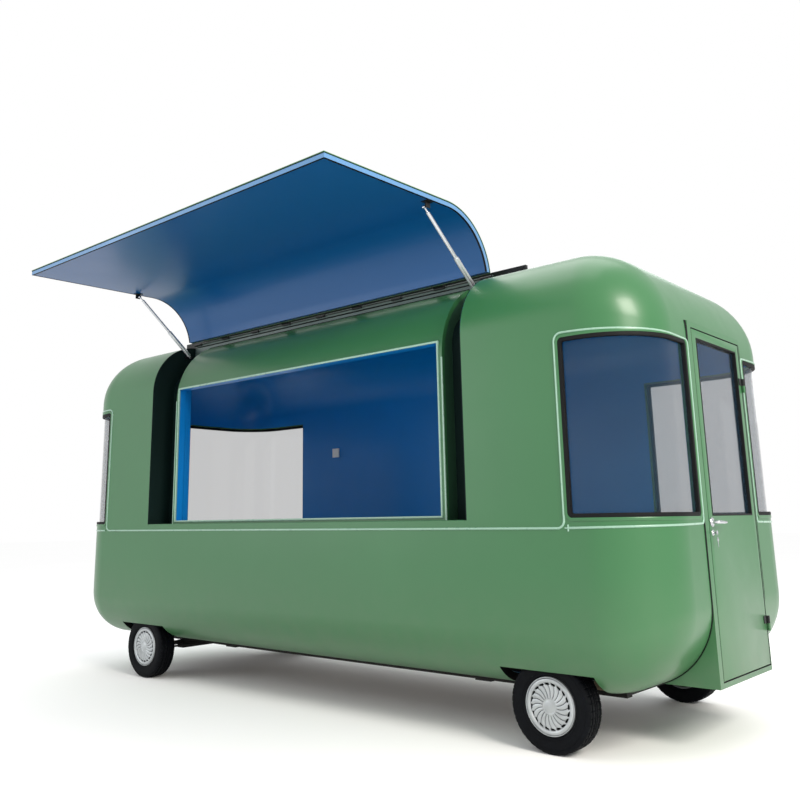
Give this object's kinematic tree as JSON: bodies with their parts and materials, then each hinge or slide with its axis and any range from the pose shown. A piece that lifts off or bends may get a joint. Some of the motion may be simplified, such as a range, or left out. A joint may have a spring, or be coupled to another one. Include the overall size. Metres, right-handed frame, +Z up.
{
  "type": "food truck",
  "caption": "Rounded food trailer on small wheels with a lift-up serving hatch on struts, corner windows, a waist bead, a glazed end door and a steered end.",
  "frame": {"origin": "on the ground under the middle of the overall box, which is measured with the hatch open as parked", "axes": "+X along the body towards the door end, +Y away from the serving side, +Z up"},
  "size_m": [5.543, 3.2118, 3.1859],
  "materials": {
    "green_paint": "satin",
    "pale_trim": "gloss",
    "blue_lining": "gloss",
    "window_glass": "gloss",
    "black_rubber": "matte",
    "black_metal": "satin",
    "white_plastic": "gloss",
    "chassis_steel": "satin",
    "bright_steel": "brushed",
    "floor": "matte",
    "wheel_cover": "satin",
    "tyre": "matte"
  },
  "bodies": {
    "trailer_body": {"chassis_frame": "chassis_steel", "tow_clevis": "chassis_steel", "floor_panel": "floor", "wheel_boxes": "chassis_steel", "lower_side_serving": "green_paint", "lower_side_back": "green_paint", "lower_end_door": "green_paint", "lower_end_front": "green_paint", "upper_side_back": "green_paint", "upper_end_door": "green_paint", "upper_end_front": "green_paint", "roof": "green_paint", "serving_sill": "green_paint", "hatch_bay": "green_paint", "serving_frame": "pale_trim", "door_portal": "green_paint", "inner_lining": "blue_lining", "corner_windows": "window_glass", "window_gaskets": "black_rubber", "waist_trim": "pale_trim", "switch_plate": "white_plastic", "roof_rail": "black_metal", "strut_mounts": "black_metal", "axle_door_end": "chassis_steel", "axle_front_end": "chassis_steel"},
    "hatch": {"hatch_panel": "green_paint", "hatch_brackets": "black_metal"},
    "strut_tube_left": {"strut_tube_left": "black_metal"},
    "strut_tube_right": {"strut_tube_right": "black_metal"},
    "strut_rod_left": {"strut_rod_left": "bright_steel"},
    "strut_rod_right": {"strut_rod_right": "bright_steel"},
    "door": {"door_leaf": "green_paint", "door_glass": "window_glass", "door_handle": "bright_steel", "door_hinges": "black_metal"},
    "knuckle_near": {"knuckle_near": "chassis_steel"},
    "knuckle_far": {"knuckle_far": "chassis_steel"},
    "tie_rod": {"tie_rod": "chassis_steel"},
    "wheel_door_near": {"wheel_door_near": "wheel_cover", "tyre_door_near": "tyre"},
    "wheel_door_far": {"wheel_door_far": "wheel_cover", "tyre_door_far": "tyre"},
    "wheel_front_near": {"wheel_front_near": "wheel_cover", "tyre_front_near": "tyre"},
    "wheel_front_far": {"wheel_front_far": "wheel_cover", "tyre_front_far": "tyre"}
  },
  "joints": [
    {"name": "hatch_hinge", "type": "hinge", "parent": "trailer_body", "child": "hatch", "pos_m": [-0.0645, -0.0431, 2.788], "axis": [1, 0, 0], "range_deg": [0, 89]},
    {"name": "strut_pivot_left", "type": "hinge", "parent": "trailer_body", "child": "strut_tube_left", "pos_m": [-1.6145, -0.1301, 2.665], "axis": [1, 0, 0], "range_deg": [0, 105]},
    {"name": "strut_pivot_right", "type": "hinge", "parent": "trailer_body", "child": "strut_tube_right", "pos_m": [1.4855, -0.1301, 2.665], "axis": [1, 0, 0], "range_deg": [0, 105]},
    {"name": "strut_slide_left", "type": "slide", "parent": "strut_tube_left", "child": "strut_rod_left", "axis": [0, -0.7678, 0.6406], "range_m": [-0.147, 0]},
    {"name": "strut_slide_right", "type": "slide", "parent": "strut_tube_right", "child": "strut_rod_right", "axis": [0, -0.7678, 0.6406], "range_m": [-0.147, 0]},
    {"name": "door_hinge", "type": "hinge", "parent": "trailer_body", "child": "door", "pos_m": [2.7295, 0.9749, 1.3], "axis": [0, 0, 1], "range_deg": [0, 100]},
    {"name": "steer_near", "type": "hinge", "parent": "trailer_body", "child": "knuckle_near", "pos_m": [-1.8235, -0.2251, 0.242], "axis": [0, 0, 1], "range_deg": [-8, 8]},
    {"name": "steer_far", "type": "hinge", "parent": "trailer_body", "child": "knuckle_far", "pos_m": [-1.8235, 1.3749, 0.242], "axis": [0, 0, 1], "range_deg": [-8, 8]},
    {"name": "tie_rod_pivot", "type": "hinge", "parent": "knuckle_near", "child": "tie_rod", "pos_m": [-1.7085, -0.2251, 0.23], "axis": [0, 0, 1], "range_deg": [-8, 8]},
    {"name": "wheel_spin_door_near", "type": "hinge", "parent": "trailer_body", "child": "wheel_door_near", "pos_m": [1.9865, -0.2776, 0.242], "axis": [0, 1, 0], "continuous": true},
    {"name": "wheel_spin_door_far", "type": "hinge", "parent": "trailer_body", "child": "wheel_door_far", "pos_m": [1.9865, 1.4274, 0.242], "axis": [0, 1, 0], "continuous": true},
    {"name": "wheel_spin_front_near", "type": "hinge", "parent": "knuckle_near", "child": "wheel_front_near", "pos_m": [-1.8235, -0.2776, 0.242], "axis": [0, 1, 0], "continuous": true},
    {"name": "wheel_spin_front_far", "type": "hinge", "parent": "knuckle_far", "child": "wheel_front_far", "pos_m": [-1.8235, 1.4274, 0.242], "axis": [0, 1, 0], "continuous": true}
  ],
  "couplings": [
    {"joint": "strut_pivot_left", "follows": "hatch_hinge", "ratio": 1.1573},
    {"joint": "strut_pivot_right", "follows": "hatch_hinge", "ratio": 1.1573},
    {"joint": "strut_slide_left", "follows": "hatch_hinge", "m_per_rad": -0.093539},
    {"joint": "strut_slide_right", "follows": "hatch_hinge", "m_per_rad": -0.093539},
    {"joint": "steer_far", "follows": "steer_near", "ratio": 1},
    {"joint": "tie_rod_pivot", "follows": "steer_near", "ratio": -1}
  ]
}
